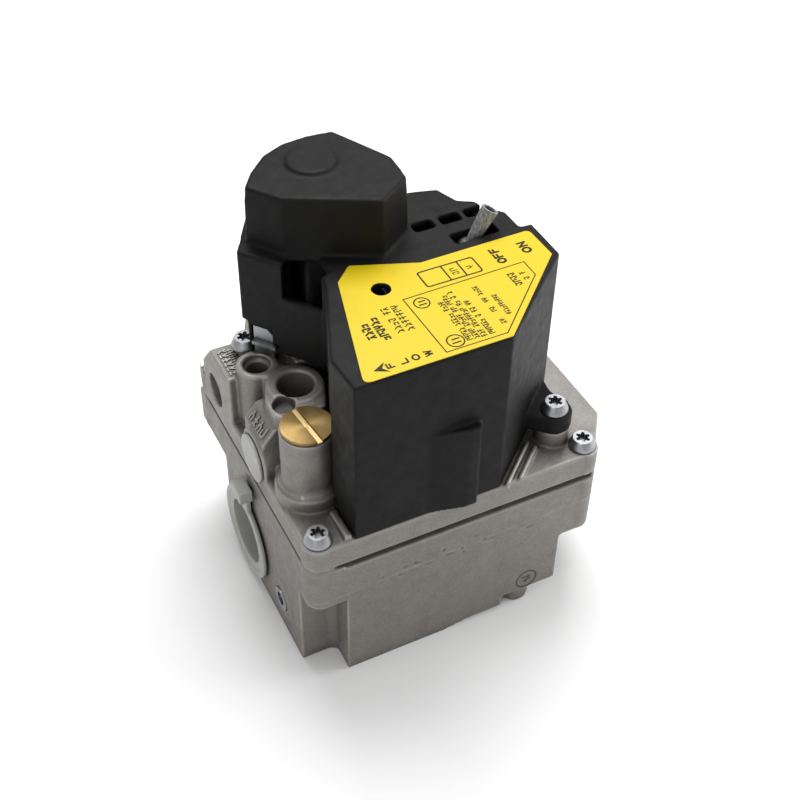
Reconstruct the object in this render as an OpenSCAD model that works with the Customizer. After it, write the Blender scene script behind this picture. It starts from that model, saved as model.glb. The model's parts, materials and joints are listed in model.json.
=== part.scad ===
// Combination gas valve: two castings with a gasket between them, a redundant
// solenoid valve, a servo-operated main diaphragm valve, a pressure regulator and
// an on/off toggle switch under a moulded cover. Gas enters on +X and leaves on -X.
// Parts are drawn from the castings' front left corner at the gasket face, and
// at_seam() moves them to the model frame: origin on the resting plane, below the
// middle of the port axis, +X right, +Y back, +Z up. Millimetres.

/* [Castings] */
// Length between the two port faces
body_l = 110; // [109:0.5:111]
// Depth of the castings, front to back
body_w = 94.6; // [94:0.2:96]
// Height of the gasket face above the resting plane
seam_h = 52.4; // [52:0.2:54]
// Top of the upper casting's flange above the gasket face
flange_top = 9.7; // [9.5:0.1:10.2]
// Gap that the gasket fills between the castings
gasket_t = 1.4; // [1:0.1:1.4]
// Top of the raised platform that carries the redundant solenoid
platform_top = 32; // [31:0.5:32.5]

/* [Ports] */
// Distance of the port axis from the castings' front face
port_y = 54; // [53.5:0.5:55]
// Depth of the port axis below the gasket face
port_drop = 33.4; // [33:0.2:34]
// Radius of the port wall, for a 3/4 inch pipe thread
port_r = 12.1; // [11.9:0.05:12.3]
// Length of threaded wall in each port
port_thread_l = 16; // [14:0.5:17]
// Radius of the service holes, for a 1/8 inch pipe thread
tap_r = 4.3; // [4.2:0.05:4.4]

/* [Cover] */
// Height of the cover's deck above the gasket face
deck_z = 70.4; // [70:0.2:72]
// Height of the tower's top above the gasket face
tower_z = 90; // [89:0.5:91]
// Wall thickness of the moulded cover
wall = 2.2; // [2:0.1:2.4]

/* [Motion] */
// Lean of the toggle lever from upright in the ON position, degrees
lever_lean = 30; // [26:1:31]
// Travel of the redundant solenoid's plunger
redundant_lift = 3; // [2.5:0.1:3.2]
// Travel of the servo solenoid's plunger
servo_lift = 1.2; // [1:0.1:1.5]

/* [Hidden] */
$fn = 48;

eps = 0.01;
upper_z = gasket_t / 2;         // underside of the upper casting
lower_z = -gasket_t / 2;        // top face of the lower casting
port_z = -port_drop;

// Corner screws: M5 with a round star-drive head
corners = [[5, 5], [97, 5], [5, body_w - 5], [97, body_w - 5]];
corner_r = 5.5;
screw_r = 2.4;
screw_hole_r = 2.5;
screw_pass_r = 2.8;
head_r = 4.4;
head_h = 3.5;

// Chambers and passages
redundant_at = [38.5, 72.5];
servo_at = [37.5, 21.5];
main_at = [62, 34];
seat_z = -16;                   // seat of the redundant valve
main_seat_z = -20;              // seat of the main valve
main_chamber_r = 20;
diaphragm_r = 23;
dome_top = 6.4;
plug_seat_l = 8.5;              // counterbore that takes the shipping plug
redundant_seat_r = 8;
main_seat_r = 9;

// Regulator
reg_at = [11.2, 25.2];
reg_boss_r = 8.45;
reg_boss_top = 35.8;
reg_bore_r = 6;
reg_pocket_r = 8.2;
cap_slot_a = -84;               // direction of the slot in the cap

// Holes in the top: a stepped service hole and a blind open boss
service_at = [10, 62.2];
service_r = 3.5;
service_step = 2.2;
open_boss_at = [17.4, 48.5];

// Holes in the left face, as [y, z]
vent_at = [43, 12];
side_hole_at = [77.2, 12];
side_hole_r = 6;                // 1/4 inch pipe thread
tap_at = [25, -37.5];

// Solenoids
tube_r = 4.6;
tube_wall = 0.5;
plunger_r = 4;
coil_r = 9.7;
redundant_h = 48;
servo_h = 44;
servo_base = flange_top;

// Toggle switch
lever_at = [76, 48.2, 65.5];
lever_l = 14;

// Wall profile of the cover in plan, anticlockwise
cover_plan = [
    [15.2, 0.4], [64.3, 0.4], [96.3, 28.4], [96.4, 45], [92.3, 45.2], [92, 54], [86.8, 59.6],
    [86.4, 63], [81.4, 65.9], [78.6, 73.9], [71.7, 75.9], [61, 77.2], [61, 55], [31, 55],
    [30, 47.5], [26, 43], [14.4, 14.4]
];
// Ends of the cover's lower left wall, beside the bracket
left_corner = [9.1, 70.1];
notch_corner = [27, 47.5];
// Plan of the cover's upper storey, which also spans the raised platform
upper_plan = [
    [15.2, 0.4], [64.3, 0.4], [96.3, 28.4], [96.4, 45], [92.3, 45.2], [92, 54], [86.8, 59.6],
    [86.4, 63], [81.4, 65.9], [78.6, 73.9], [71.7, 75.9], [63, 77.2], [53, 92.4],
    [38.4, 94.3], [29, 94.3], [21, 90.6], [15.4, 81], left_corner, notch_corner, [26, 43],
    [14.4, 14.4]
];
// Bottom flange of the upper storey, around the raised platform
skirt_plan = [
    left_corner, notch_corner, [31, 50], [31, 56.5], [60, 56.5], [61.8, 76], [63, 77.2], [53, 92.4],
    [38.4, 94.3], [29, 94.3], [21, 90.6], [15.4, 81]
];
tower_plan = [
    [21.5, 63.2], [47.7, 49.7], [59.7, 58.2], [60.4, 69.7], [50.1, 90.6], [41.5, 91.4],
    [33, 90.4], [25.4, 86.8], [18.6, 79.8], [14.2, 73.3]
];
label_plan = [
    [18.4, 0.9], [64.4, 0.9], [93.6, 28.6], [93.4, 42], [56.2, 41.6], [36.3, 49.3],
    [30.2, 43.4]
];
upper_floor = 37.4;             // underside of the cover's upper storey
skirt_t = 2.4;                  // height of its bottom flange
label_hole = [40.2, 35.3];
bracket_screw_at = [10.4, 73.4];
bracket_z = 29.5;               // shelf under the bracket
bracket_t = 1.4;
bracket_top = bracket_z + bracket_t;
ear_at = [90, 12.5];
ear_top = 22;
ear_floor = 16;

// Terminals: one slot in the deck for each 6.35 mm tab
slot_x = [62.1, 71.4, 80.1];
slot_l = [6.9, 6.9, 6.5];
tab_x = [65.55, 74.85, 83.35];
tab_y = 57.6;
tab_t = 0.8;
tab_w = 6.35;

// ---------- helpers ----------

// Moves a part from the castings' corner to the model frame
module at_seam() { translate([-body_l / 2, -port_y, seam_h]) children(); }

// Moves a part to the foot of the cover's lower left wall: +X along the wall, +Y into the cover
module at_left_wall() {
    d = notch_corner - left_corner;
    translate(left_corner) rotate(atan2(d.y, d.x)) children();
}

// Upright cylinder at p = [x, y] from z0 to z1
module post(p, z0, z1, r) { translate([p.x, p.y, z0]) cylinder(h = z1 - z0, r = r); }

// Cylinder along +X from x0 to x1 at height z and depth y
module bar_x(x0, x1, y, z, r) {
    translate([x0, y, z]) rotate([0, 90, 0]) cylinder(h = x1 - x0, r = r);
}

// Cylinder between two points
module rod(a, b, r) {
    d = b - a;
    translate(a) rotate([0, acos(d.z / norm(d)), atan2(d.y, d.x)]) cylinder(h = norm(d), r = r);
}

// Upright ring
module ring(p, z0, z1, outer, inner) {
    difference() {
        post(p, z0, z1, outer);
        post(p, z0 - 1, z1 + 1, inner);
    }
}

// Straight prism over a plan
module slab(plan, z0, z1) { translate([0, 0, z0]) linear_extrude(height = z1 - z0) polygon(plan); }

// A plan moved inwards by d, for an anticlockwise outline
function inset(p, d) = [
    for (i = [0 : len(p) - 1])
        let (a = p[(i + len(p) - 1) % len(p)], b = p[i], c = p[(i + 1) % len(p)],
             u = (b - a) / norm(b - a), v = (c - b) / norm(c - b),
             nu = [-u.y, u.x], nv = [-v.y, v.x])
            b + d * (nu + nv) / (1 + nu * nv)
];

// Prism whose plan shrinks by draft from z0 to z1
module drafted(plan, z0, z1, draft) {
    n = len(plan);
    top = inset(plan, draft);
    points = concat([for (q = plan) [q.x, q.y, z0]], [for (q = top) [q.x, q.y, z1]]);
    sides = [for (i = [0 : n - 1]) [i, i + n, (i + 1) % n + n, (i + 1) % n]];
    polyhedron(points, concat([[for (i = [0 : n - 1]) i]],
                              [[for (i = [0 : n - 1]) 2 * n - 1 - i]], sides));
}

// Round wire coil standing on z = 0; r0 and r1 are its bottom and top coil radii
module coil(r0, r1, wire, height, turns) {
    steps = turns * 16;
    sides = 6;
    rise = height - 2 * wire;
    points = [
        for (i = [0 : steps]) let (t = i / steps, a = 360 * turns * t, r = r0 + (r1 - r0) * t)
            for (j = [0 : sides - 1]) let (b = 360 * j / sides, w = r + wire * cos(b))
                [w * cos(a), w * sin(a), wire + rise * t + wire * sin(b)]
    ];
    skin = [
        for (i = [0 : steps - 1]) for (j = [0 : sides - 1])
            let (k = (j + 1) % sides)
                [i * sides + j, i * sides + k, (i + 1) * sides + k, (i + 1) * sides + j]
    ];
    first = [for (j = [0 : sides - 1]) sides - 1 - j];
    last = [for (j = [0 : sides - 1]) steps * sides + j];
    polyhedron(points, concat([first], skin, [last]));
}

// Star-drive recess, cut from a head whose top is at z = 0
module star_recess(depth) {
    lobe_r = 0.62;
    translate([0, 0, -depth]) {
        cylinder(h = depth + 1, r = 1.55);
        for (a = [0 : 60 : 300])
            rotate(a) translate([1.75, 0, 0]) cylinder(h = depth + 1, r = lobe_r, $fn = 24);
    }
}

// Round-headed screw with its seat at z = 0
module star_screw(shank_l) {
    neck_h = 0.7;
    difference() {
        union() {
            cylinder(h = neck_h, r = head_r);
            translate([0, 0, neck_h]) cylinder(h = head_h - neck_h, r1 = head_r, r2 = head_r * 0.72);
            translate([0, 0, -shank_l]) cylinder(h = shank_l + eps, r = screw_r);
        }
        translate([0, 0, head_h]) star_recess(2);
    }
}

// ---------- castings ----------

// Plan of the flange, moved inwards by i
module flange(z0, z1, i = 0) {
    slab([
        [corner_r + i, i], [97, i], [corner_r + 97 - i, 5.2], [body_l - i, 15.5],
        [body_l - i, body_w - 15.5], [corner_r + 97 - i, body_w - 5.2], [97, body_w - i],
        [5, body_w - i], [i, body_w - 5], [i, corner_r + i]
    ], z0, z1);
    for (c = corners) post(c, z0, z1, 5.3 - i);
}

module lower_outside() {
    foot = -seam_h;
    flange_floor = -25;
    // main block, its underside stepped along X
    translate([0, body_w, 0]) rotate([90, 0, 0]) linear_extrude(height = body_w - 10)
        polygon([
            [0, foot], [60, foot], [63, foot + 1.4], [69, foot + 1.4], [69, -46.6], [89.5, -46.6],
            [89.5, lower_z], [0, lower_z]
        ]);
    translate([0, 11, 0]) rotate([90, 0, 0]) linear_extrude(height = 11)
        polygon([
            [12, foot], [48, foot], [57, foot + 1.4], [69, foot + 1.4], [69, -46.6], [89.5, -46.6],
            [89.5, lower_z], [12, lower_z]
        ]);
    // inner corner of the front left notch
    difference() {
        slab([[9, 9], [12.5, 9], [12.5, 11], [9, 11]], foot, lower_z);
        post([8.6, 6.6], foot - 1, 1, 3.4);
    }
    // upper band, overhanging on the right
    intersection() {
        flange(flange_floor, lower_z);
        translate([12, -1, flange_floor - 1]) cube([body_l, body_w + 2, 50]);
    }
    intersection() {
        flange(-17, lower_z);
        translate([-1, -1, -18]) cube([20, body_w + 2, 50]);
    }
    // inlet boss
    bar_x(80, body_l, port_y, port_z, 18.4);
    slab([[88, port_y - 18.4], [body_l, port_y - 18.4], [body_l, port_y + 18.4], [88, port_y + 18.4]],
         port_z, -10);
    // pads at the corner screws carry the upper casting
    for (c = corners) post(c, lower_z - 1, upper_z, 4.9);
    // small round foot under the right end
    post([76.6, 5.2], foot, -40, 5);
    // pad around the pressure tap
    bar_x(-0.6, 1, tap_at.x, tap_at.y, 7.4);
}

module lower_body() {
    at_seam() color([0.60, 0.58, 0.55]) difference() {
        lower_outside();
        for (c = corners) post(c, -16, 2, screw_hole_r);
        // shallow relief along the front of the gasket face
        translate([11.5, -1, lower_z - 0.9]) cube([88, 3.4, 2]);
        // the outlet boss stands proud of the recessed rear of the left face
        difference() {
            translate([-1, port_y - 24, -seam_h - 1]) cube([12.5, 70, seam_h - 14]);
            translate([-2, 0, -seam_h - 2]) cube([14, port_y, seam_h]);
            bar_x(-2, 13, port_y, port_z, 19.4);
            translate([-2, 0, port_z]) cube([14, port_y + 19.4, 30]);
        }
        // outlet port: plug counterbore, thread, passage
        bar_x(-1, plug_seat_l, port_y, port_z, port_r + 0.7);
        bar_x(-1, plug_seat_l + port_thread_l, port_y, port_z, port_r);
        rod([22, port_y - 7.8, port_z], [main_at.x, main_at.y, port_z], main_seat_r - 1);
        // inlet port: thread, screen seat, passage
        bar_x(body_l - port_thread_l, body_l + 1, port_y, port_z, port_r);
        bar_x(body_l - port_thread_l - 6, body_l - port_thread_l + eps, port_y, port_z, port_r - 1.2);
        rod([body_l - port_thread_l - 2, port_y + 6.6, port_z], [redundant_at.x, redundant_at.y, port_z],
            redundant_seat_r - 1);
        // chambers
        post(redundant_at, seat_z, 5, 13);
        post(redundant_at, port_z - redundant_seat_r, 5, redundant_seat_r);
        post(main_at, main_seat_z, 5, main_chamber_r);
        post(main_at, port_z - main_seat_r, 5, main_seat_r);
        rod([redundant_at.x, redundant_at.y, -9], [main_at.x, main_at.y, -9], 5);
        // pressure tap and its drilling into the outlet
        bar_x(-2, 12, tap_at.x, tap_at.y, tap_r);
        rod([9, tap_at.x, tap_at.y], [9, port_y - 6, port_z], 1.2);
        // regulator nozzle
        post(reg_at, -7, 5, 1.9);
        // core-outs in the underside
        for (x = [18, 47]) translate([x, 12, -seam_h - 1]) cube([24, 18, 5]);
        for (x = [10, 40]) translate([x, 74, -seam_h - 1]) cube([24, 14, 4]);
    }
}

module upper_outside() {
    flange(upper_z, flange_top);
    // regulator boss and its foot
    post(reg_at, flange_top - 1, reg_boss_top, reg_boss_r);
    post(reg_at, flange_top - 1, 14.5, 10.6);
    post(reg_at, flange_top - 1, 16, 9.5);
    // service boss and the open boss with its web
    post(service_at, flange_top - 1, platform_top, 6.7);
    post(open_boss_at, flange_top - 1, platform_top, 8.9);
    slab([
        [6.2, 46], [5.9, 38.6], [8, 36], [13, 35.4], [22, 35.6], [26.2, 46], [26.2, 51], [16, 60.6],
        [9, 58], [9.6, 54.6]
    ], flange_top - 1, platform_top - 0.6);
    // vent boss and the sloping pad above it
    bar_x(0, 14, vent_at.x, vent_at.y, 9.4);
    translate([0, 52, 0]) rotate([90, 0, 0]) linear_extrude(height = 15)
        polygon([[1, 16], [8, 16], [8, 27], [5.2, 26.5], [1, 21.5]]);
    // service port block at the rear left
    rotate([90, 0, 90]) linear_extrude(height = 9)
        polygon([[62.5, 5], [92.5, 5], [92.5, 12], [79, 28], [62.5, 28]]);
    // platform for the redundant solenoid
    slab([
        [21.2, 57.6], [29.4, 56.6], [59.4, 56.6], [59.4, 75], [51.6, 91.6], [21.2, 91.6]
    ], flange_top - 1, platform_top);
    // lower shelf beside it for the cover's bracket
    slab([[7, 69.6], [14, 60], [21.4, 58], [21.4, 91.6], [18, 91.6], [12, 79]], flange_top - 1, bracket_z);
    // boss for the cover's ear
    post(ear_at, flange_top - 1, ear_floor, 5.3);
    // locating ribs along the cover's foot
    translate([12, 0.8, flange_top - 1]) cube([2.4, 12, 3]);
    translate([65.6, 0.5, flange_top - 1]) rotate(41.2) translate([0, -2, 0]) cube([20, 1.3, 3]);
    translate([69.5, 0.5, flange_top - 1]) rotate(41.2) translate([1.5, -2.2, 0]) cube([15, 1.3, 2.4]);
}

module upper_body() {
    at_seam() color([0.66, 0.64, 0.61]) difference() {
        upper_outside();
        for (c = corners) {
            post(c, upper_z - 1, flange_top + 1, screw_pass_r);
            // room for the head and its driver
            post(c, flange_top, platform_top, head_r + 0.7);
        }
        // regulator bore, cap seat and diaphragm pocket
        post(reg_at, 2, reg_boss_top + 1, reg_bore_r);
        post(reg_at, reg_boss_top - 1, reg_boss_top + 1, 7.25);
        post(reg_at, upper_z - 1, 5, reg_pocket_r);
        // service hole with its drilling, and the blind open boss
        post(service_at, platform_top - service_step, platform_top + 1, service_r + 0.9);
        post(service_at, platform_top - service_step - 9, platform_top + 1, service_r);
        post(service_at, platform_top - 18, platform_top + 1, 2.4);
        post(open_boss_at, platform_top - 14, platform_top + 1, 5.8);
        translate([open_boss_at.x, open_boss_at.y, platform_top - 0.6]) cylinder(h = 0.7, r1 = 5.8, r2 = 6.5);
        post([10.6, 41.8], 28.2, platform_top + 1, 3.5);
        // vent hole and side service hole
        bar_x(-1, 10, vent_at.x, vent_at.y, 6.2);
        bar_x(-1, 7, side_hole_at.x, side_hole_at.y, side_hole_r);
        // redundant valve guide
        post(redundant_at, upper_z - 1, platform_top + 1, 6);
        post(redundant_at, platform_top - 2.6, platform_top + 1, 8.1);
        // servo valve pocket and nozzle
        post(servo_at, 4.6, flange_top + 1, 6);
        post(servo_at, servo_base - 2.6, servo_base + 1, 8.1);
        post(servo_at, upper_z - 1, 5, 1.2);
        // dome above the main diaphragm, with its servo drilling
        post(main_at, upper_z - 1, dome_top, main_chamber_r);
        rod([servo_at.x + 4.5, servo_at.y, 5.6], [main_at.x - 14, main_at.y - 4, 5.2], 0.8);
        // threads for the cover's ear screw and the bracket's screw
        post(ear_at, flange_top + 0.4, ear_floor + 1, screw_hole_r);
        post(bracket_screw_at, bracket_z - 12, bracket_z + 1, screw_hole_r);
    }
}

module body_gasket() {
    at_seam() color([0.16, 0.15, 0.14]) difference() {
        flange(lower_z, upper_z, 2.4);
        for (c = corners) post(c, lower_z - 1, upper_z + 1, 6.6);
        post(main_at, lower_z - 1, upper_z + 1, diaphragm_r + 0.1);
        post(redundant_at, lower_z - 1, upper_z + 1, 13);
        post(reg_at, lower_z - 1, upper_z + 1, 6.4);
    }
}

module body_screws() {
    at_seam() color([0.75, 0.75, 0.77])
        for (c = corners) translate([c.x, c.y, flange_top]) star_screw(24);
}

// ---------- cover ----------

module cover_outside() {
    slab(cover_plan, flange_top, deck_z - 1);
    slab(upper_plan, upper_floor, deck_z);
    drafted(inset(tower_plan, -0.7), deck_z - 1, tower_z, 0.7);
    post([37.2, 77], tower_z - 1, tower_z + 1.2, 7.7);
    // skirt above the platform
    slab(skirt_plan, upper_floor - skirt_t, upper_floor);
    // leg at the left end, down to the bracket
    at_left_wall() translate([1, 0.1, bracket_top + 0.1]) cube([2, 2, upper_floor - bracket_top]);
    // hump on the front wall
    slab([[39, 1], [39.4, 0.3], [51, -2.6], [54.6, -2.6], [55.4, 1]], flange_top, 42.6);
    // ear for the fastening screw
    slab([[80, 14.4], [86.6, 8], [94, 8.6], [96, 14], [93.4, 20], [94, 26.6]], ear_floor, ear_top);
    post(ear_at, ear_floor, ear_top, 5.7);
}

module cover_inside() {
    main = inset(cover_plan, wall);
    storey = inset(upper_plan, wall);
    slab(main, flange_top - 1, deck_z - wall);
    slab(storey, upper_floor + wall, deck_z - wall);
    slab(inset(skirt_plan, wall), upper_floor - skirt_t - 1, upper_floor + wall + 1);
    slab(inset(tower_plan, wall), deck_z - wall - 1, tower_z - wall);
}

module plastic_cover() {
    at_seam() color([0.15, 0.15, 0.14]) difference() {
        union() {
            difference() {
                cover_outside();
                cover_inside();
            }
            // walls that step around the regulator boss
            intersection() {
                slab(inset(cover_plan, 0.1), flange_top, 43.6);
                union() {
                    ring(reg_at, flange_top, 43.6, 11.2, 9.1);
                    ring(reg_at, flange_top, 18.4, 13.2, 11.1);
                    post(reg_at, 41.8, 43.6, 11.2);
                    ring(reg_at, 16.8, 18.4, 13.2, 9.1);
                }
            }
        }
        post(reg_at, flange_top - 1, 41.8, 9.1);
        post(reg_at, flange_top - 1, 16.8, 11.1);
        // label hole
        post(label_hole, deck_z - wall - 1, deck_z + 1, 3.1);
        // toggle slot
        translate([70.5, 45.8, deck_z - wall - 1]) cube([15, 4.8, wall + 2]);
        // terminal slots, the last one running into the wall
        for (i = [0 : 2]) translate([slot_x[i], 56.2, deck_z - wall - 1]) cube([slot_l[i], 4.3, wall + 2]);
        translate([80.1, 56.3, 52]) cube([6.5, 2.7, deck_z - 52]);
        // notch in the left wall
        slab([[17, 56.5], [19.8, 56.5], [26.6, 47.9], [30, 50], [30, 57.6], [21.6, 61.9]], 57.4, deck_z + 1);
        // window for the bracket's hook, and room around its screw and the service boss
        at_left_wall() translate([3.2, -1, upper_floor - skirt_t - 1]) cube([7.6, 4, 9.4]);
        at_left_wall() translate([3.2, -1, upper_floor - 1.2]) cube([9.2, 2.2, 2]);
        post(bracket_screw_at, bracket_z, 44.6, head_r + 0.2);
        post(service_at, bracket_z, platform_top + 0.3, 7);
        // ear hole
        post(ear_at, ear_floor - 1, ear_top + 1, screw_pass_r);
    }
}

module cover_label() {
    at_seam() color([0.95, 0.85, 0.12]) difference() {
        slab(label_plan, deck_z, deck_z + 0.25);
        post(label_hole, deck_z - 1, deck_z + 1, 3);
    }
}

module cover_screw() {
    at_seam() color([0.75, 0.75, 0.77])
        translate([ear_at.x, ear_at.y, ear_top]) star_screw(11);
}

module rear_bracket() {
    hook_z = bracket_top + 1.4;
    at_seam() color([0.72, 0.73, 0.74]) difference() {
        union() {
            slab([[7.2, 70.8], [10.4, 67.6], [19.4, 67.4], [20.4, 73], [16, 80.4], [10.6, 77.8]],
                 bracket_z, bracket_top);
            at_left_wall() {
                // riser clear of the service boss, step out to the wall, hook and its lip
                translate([4, 3.6, bracket_z]) cube([6.4, 1.2, hook_z - bracket_z + 1.2]);
                translate([4, 0.5, hook_z]) cube([6.4, 4.3, 1.2]);
                difference() {
                    translate([3.6, 0.5, hook_z]) cube([6.8, 1.2, 10.6]);
                    translate([10.4, 0, hook_z + 10.6]) rotate([0, 45, 0]) cube([2.6, 5, 2.6], center = true);
                }
                translate([3.6, -1.1, upper_floor - 0.9]) cube([8.4, 2.2, 1.3]);
            }
        }
        post(bracket_screw_at, bracket_z - 1, bracket_top + 1, screw_pass_r);
        post(service_at, bracket_z - 1, platform_top + 0.2, 7);
    }
}

module bracket_screw() {
    at_seam() color([0.75, 0.75, 0.77])
        translate([bracket_screw_at.x, bracket_screw_at.y, bracket_top]) star_screw(12);
}

// ---------- regulator ----------

module regulator_cap() {
    flange_z = reg_boss_top + 0.1;
    at_seam() color([0.76, 0.62, 0.36]) difference() {
        union() {
            post(reg_at, flange_z, flange_z + 1.3, 8);
            post(reg_at, reg_boss_top - 6, flange_z + eps, reg_bore_r - 0.1);
        }
        post(reg_at, reg_boss_top - 7, reg_boss_top - 2, 4.2);
        translate([reg_at.x, reg_at.y, flange_z + 1]) rotate(cap_slot_a)
            translate([-9, -0.9, -0.4]) cube([18, 1.8, 2]);
    }
}

module cap_oring() {
    at_seam() color([0.08, 0.08, 0.08]) translate([reg_at.x, reg_at.y, reg_boss_top - 0.45])
        rotate_extrude() translate([6.6, 0]) circle(r = 0.54, $fn = 24);
}

module regulator_adjust_screw() {
    at_seam() color([0.85, 0.84, 0.80]) difference() {
        post(reg_at, 22, 27, reg_bore_r - 0.1);
        translate([reg_at.x, reg_at.y, 26]) rotate(20) translate([-4.5, -0.6, 0]) cube([9, 1.2, 2]);
    }
}

module spring_button() {
    at_seam() color([0.72, 0.73, 0.74]) {
        post(reg_at, 20.8, 22, 5.6);
        post(reg_at, 18.8, 20.9, 3);
    }
}

module regulator_spring() {
    at_seam() color([0.66, 0.67, 0.69]) translate([reg_at.x, reg_at.y, 5.6])
        coil(4.3, 4.3, 0.45, 15.2, 7);
}

module regulator_plate() {
    at_seam() color([0.72, 0.73, 0.74]) {
        post(reg_at, 4.8, 5.6, 5.4);
        post(reg_at, 5.5, 6.8, 3);
    }
}

module regulator_diaphragm() {
    at_seam() color([0.10, 0.10, 0.10]) {
        ring(reg_at, 3.8, 5, 8.15, 6.2);
        post(reg_at, 4.2, 4.8, 6.4);
    }
}

module regulator_ring() {
    at_seam() color([0.66, 0.64, 0.61]) ring(reg_at, upper_z, 3.8, 8.15, 6.5);
}

module regulator_nozzle() {
    at_seam() color([0.76, 0.62, 0.36]) ring(reg_at, -6.6, 3.4, 1.88, 0.7);
}

// ---------- switch and terminals ----------

// Frame of the lever: origin on its pivot, +Z along the lever
module at_lever() { translate(lever_at) rotate([0, lever_lean, 0]) children(); }

module toggle_lever() {
    at_seam() color([0.74, 0.74, 0.75]) at_lever() difference() {
        union() {
            cylinder(h = lever_l, r1 = 1.7, r2 = 2.75);
            rotate([90, 0, 0]) translate([0, 0, -2.3]) cylinder(h = 4.6, r = 2.6);
            translate([0, 0, -6.6]) cylinder(h = 6.6, r = 1);
            translate([0, 0, -6.6]) sphere(r = 1);
        }
        translate([0, 0, lever_l - 3]) cylinder(h = 4, r1 = 1.6, r2 = 2.1);
        rotate([90, 0, 0]) translate([0, 0, -5]) cylinder(h = 10, r = 1.06);
    }
}

module toggle_pin() {
    at_seam() color([0.66, 0.67, 0.69]) translate([lever_at.x, lever_at.y + 4.6, lever_at.z])
        rotate([90, 0, 0]) cylinder(h = 9.2, r = 1);
}

module switch_housing() {
    at_seam() color([0.20, 0.19, 0.18]) difference() {
        union() {
            translate([65, 42.7, 50]) cube([22, 11, 12]);
            for (y = [43.6, 51.2]) translate([72.4, y, 61]) cube([7.2, 1.6, 7]);
        }
        translate([67, 44.4, 51.6]) cube([18, 7.6, 8.8]);
        translate([71, 46, 59]) cube([10, 4.4, 5]);
        translate([lever_at.x, lever_at.y + 6, lever_at.z]) rotate([90, 0, 0]) cylinder(h = 12, r = 1.02);
    }
}

module switch_contact() {
    blade_z = 56.4;
    at_seam() color([0.78, 0.58, 0.36]) translate([lever_at.x, lever_at.y, blade_z]) rotate([0, -8, 0]) {
        translate([-7, -2, 0]) cube([14, 4, 0.6]);
        translate([0, 2, 0]) rotate([90, 0, 0]) cylinder(h = 4, r = 0.9);
        for (x = [-5.8, 5.8]) translate([x, 0, -0.8]) cylinder(h = 0.9, r = 1);
    }
}

module terminal_tabs() {
    foot = 52;
    tip = [66.4, 67, 67];
    at_seam() color([0.80, 0.80, 0.80]) {
        for (i = [0 : 2]) difference() {
            translate([tab_x[i] - tab_w / 2, tab_y, foot]) cube([tab_w, tab_t, tip[i] - foot]);
            // tapered tip
            if (i > 0) for (e = [-1, 1])
                translate([tab_x[i] + e * tab_w / 2, tab_y - 1, tip[i]]) rotate([0, 45, 0])
                    translate([-1.3, 0, -1.3]) cube([2.6, 3, 2.6]);
        }
        // the first tip is bent over towards the front
        translate([tab_x[0] - tab_w / 2, tab_y - 0.9, tip[0] - 0.01]) cube([tab_w, tab_t + 0.9 + 0.5, tab_t]);
    }
}

module terminal_block() {
    at_seam() color([0.20, 0.19, 0.18]) difference() {
        union() {
            translate([61.2, 56.4, 54]) cube([22.9, 4.6, 7]);
            translate([84, 56.5, 54]) cube([2.5, 2.3, 7]);
            translate([63.4, 60.6, 54]) cube([14, 6, 3]);
        }
        for (x = tab_x) translate([x - 3.2, tab_y - 0.03, 50]) cube([6.4, 0.86, 14]);
    }
}

// One insulated wire: down from a terminal, through a crimp, then straight to its coil
module wire(from, to) {
    wire_r = 0.9;
    crimp_r = 1.5;
    corner = [from.x, from.y, to.z];
    rod(from, corner, wire_r);
    rod(corner, to, wire_r);
    translate(corner) sphere(r = crimp_r);
}

module lead_wires() {
    at_seam() color([0.75, 0.20, 0.16]) {
        wire([65.5, 58, 51.9], [43.5, 29.5, 46]);
        wire([74.8, 58, 51.9], [51.4, 21.2, 41]);
        wire([82.5, 58, 51.9], [51.1, 68.5, 46]);
    }
}

// ---------- solenoids ----------

// The frame is a bent strip, open front and back
module solenoid_frame(p, z, h) {
    half = 11.5;
    depth = 8;
    t = 1.6;
    translate([p.x, p.y, z]) rotate(-27) difference() {
        translate([-half, -depth, 0]) cube([2 * half, 2 * depth, h]);
        translate([-half + t, -depth - 1, t]) cube([2 * (half - t), 2 * depth + 2, h - 2 * t]);
        translate([0, 0, -1]) cylinder(h = h + 2, r = tube_r + 0.1);
    }
}

module solenoid_bobbin(p, z, h) {
    difference() {
        union() {
            post(p, z + 1.7, z + h - 1.7, 6.2);
            post(p, z + 1.7, z + 3.1, coil_r);
            post(p, z + h - 3.1, z + h - 1.7, coil_r);
        }
        post(p, z, z + h, tube_r + 0.12);
    }
}

module solenoid_winding(p, z, h) { ring(p, z + 3.15, z + h - 3.15, coil_r - 0.8, 6.25); }

// Guide tube with a flange that seals in the casting
module solenoid_tube(p, z, h) {
    difference() {
        union() {
            post(p, z - 1.2, z + h - 2, tube_r);
            post(p, z - 1.2, z - 0.05, 8);
        }
        post(p, z - 2, z + h + 1, tube_r - tube_wall);
    }
}

// Fixed pole at the top of the tube, with its nut
module solenoid_core(p, z, h) {
    post(p, z + h - 20, z + h - 2.02, tube_r - tube_wall - 0.03);
    post(p, z + h - 2.05, z + h + 0.01, 2.6);
    translate([p.x, p.y, z + h]) cylinder(h = 3.6, r = 5, $fn = 6);
    post(p, z + h + 3.5, z + h + 4.8, 2.6);
}

// Plunger with a spring bore in its top; gap is its travel below the pole
module solenoid_plunger(p, z, h, gap, stem_z) {
    top = z + h - 20 - gap;
    difference() {
        union() {
            post(p, z - 2, top, plunger_r);
            post(p, stem_z, z - 1.9, 2.4);
        }
        post(p, top - 9, top + 1, 2.2);
    }
}

module solenoid_spring(p, z, h, gap) {
    translate([p.x, p.y, z + h - 29 - gap]) coil(1.6, 1.6, 0.3, 9 + gap, 6);
}

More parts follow.
